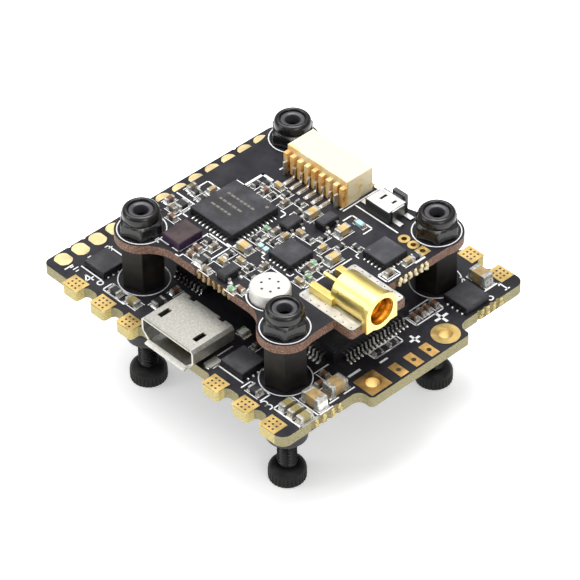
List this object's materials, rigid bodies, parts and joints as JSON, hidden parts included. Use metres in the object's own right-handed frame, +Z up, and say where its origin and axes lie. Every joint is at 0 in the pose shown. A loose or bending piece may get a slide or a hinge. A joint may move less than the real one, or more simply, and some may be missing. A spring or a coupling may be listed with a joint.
{
  "type": "flight controller board",
  "caption": "Stacked flight controller board for a small multirotor, with USB, cable and antenna sockets, a side push button, solder pads and damped screw columns.",
  "frame": {"origin": "centre of the square column pattern, on the plane that the heads of the column screws stand on", "axes": "+Z up through the stack, +X towards the antenna jack and the power pads, -Y towards the USB socket"},
  "size_m": [0.0366, 0.0325, 0.0221],
  "materials": {
    "solder_mask": "satin",
    "black_steel": "satin",
    "black_rubber": "matte",
    "black_nylon": "satin",
    "nylon_insert": "satin",
    "stamped_steel": "satin",
    "black_plastic": "matte",
    "grey_plastic": "matte",
    "gold_plate": "polished",
    "tinned_metal": "satin",
    "ivory_plastic": "satin",
    "white_insulator": "satin",
    "microphone_metal": "satin",
    "chip_resin": "matte",
    "brown_resin": "matte",
    "tan_ceramic": "satin",
    "black_ceramic": "satin",
    "green_ceramic": "satin",
    "led_lens": "gloss"
  },
  "bodies": {
    "stack": {"lower_board": "solder_mask", "upper_board": "solder_mask", "cap_screws": "black_steel", "rubber_dampers": "black_rubber", "hex_spacers": "black_nylon", "lock_nuts": "black_steel", "nut_inserts": "nylon_insert", "usb_shell": "stamped_steel", "usb_tongue": "black_plastic", "usb_contacts": "gold_plate", "cable_socket": "ivory_plastic", "cable_socket_contacts": "tinned_metal", "cable_socket_tabs": "tinned_metal", "antenna_jack": "gold_plate", "jack_insulator": "white_insulator", "jack_pin": "gold_plate", "microphone_can": "microphone_metal", "microphone_base": "black_plastic", "button_base": "black_plastic", "button_cover": "stamped_steel", "button_spring": "stamped_steel", "processor": "chip_resin", "processor_leads": "tinned_metal", "radio_chip": "chip_resin", "radio_chip_pads": "tinned_metal", "radio_amplifier": "brown_resin", "video_chip": "chip_resin", "control_chip": "chip_resin", "small_chip_pads": "tinned_metal", "driver_chips": "chip_resin", "driver_leads": "tinned_metal", "display_chip": "chip_resin", "display_chip_leads": "tinned_metal", "transistors": "chip_resin", "transistor_leads": "tinned_metal", "motor_fets": "chip_resin", "speed_chips": "chip_resin", "gyro_chip": "chip_resin", "crystal": "stamped_steel", "bulk_capacitors": "tan_ceramic", "chip_capacitors": "tan_ceramic", "chip_resistors": "black_ceramic", "chip_inductors": "green_ceramic", "indicator_leds": "led_lens", "motor_pads": "gold_plate", "signal_pads": "gold_plate", "battery_pads": "gold_plate", "supply_pads": "gold_plate", "header_pads": "tinned_metal", "ground_strips": "tinned_metal"},
    "button": {"button_plunger": "grey_plastic"}
  },
  "joints": [
    {"name": "button_press", "type": "slide", "parent": "stack", "child": "button", "axis": [0, -1, 0], "range_m": [0, 0.00025], "stiffness_N_per_m": 4000}
  ]
}
